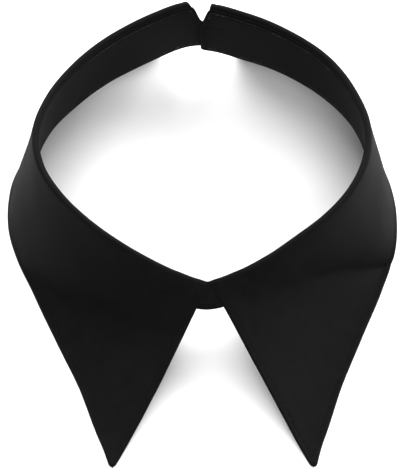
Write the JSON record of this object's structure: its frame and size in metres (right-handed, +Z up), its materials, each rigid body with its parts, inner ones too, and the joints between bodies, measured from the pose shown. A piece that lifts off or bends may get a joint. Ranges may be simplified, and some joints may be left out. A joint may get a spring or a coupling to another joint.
{
  "type": "detachable shirt collar",
  "caption": "Detachable turndown shirt collar standing on a table, with long pointed falls that meet at the front over an upright neck band whose ends overlap at the back.",
  "frame": {"origin": "middle of the collar's box in plan, on the table under it", "axes": "+Z up, -Y towards the points at the front centre, +Y towards the back opening, +X towards the right fall in the picture"},
  "size_m": [0.1498, 0.1884, 0.044],
  "materials": {
    "band_cloth": "matt black cotton in a fine plain weave",
    "left_fall_cloth": "matt black cotton in a fine plain weave",
    "right_fall_cloth": "matt black cotton in a fine plain weave"
  },
  "bodies": {
    "root": {"neck_band": "band_cloth", "left_fall": "left_fall_cloth", "right_fall": "right_fall_cloth"}
  },
  "joints": []
}
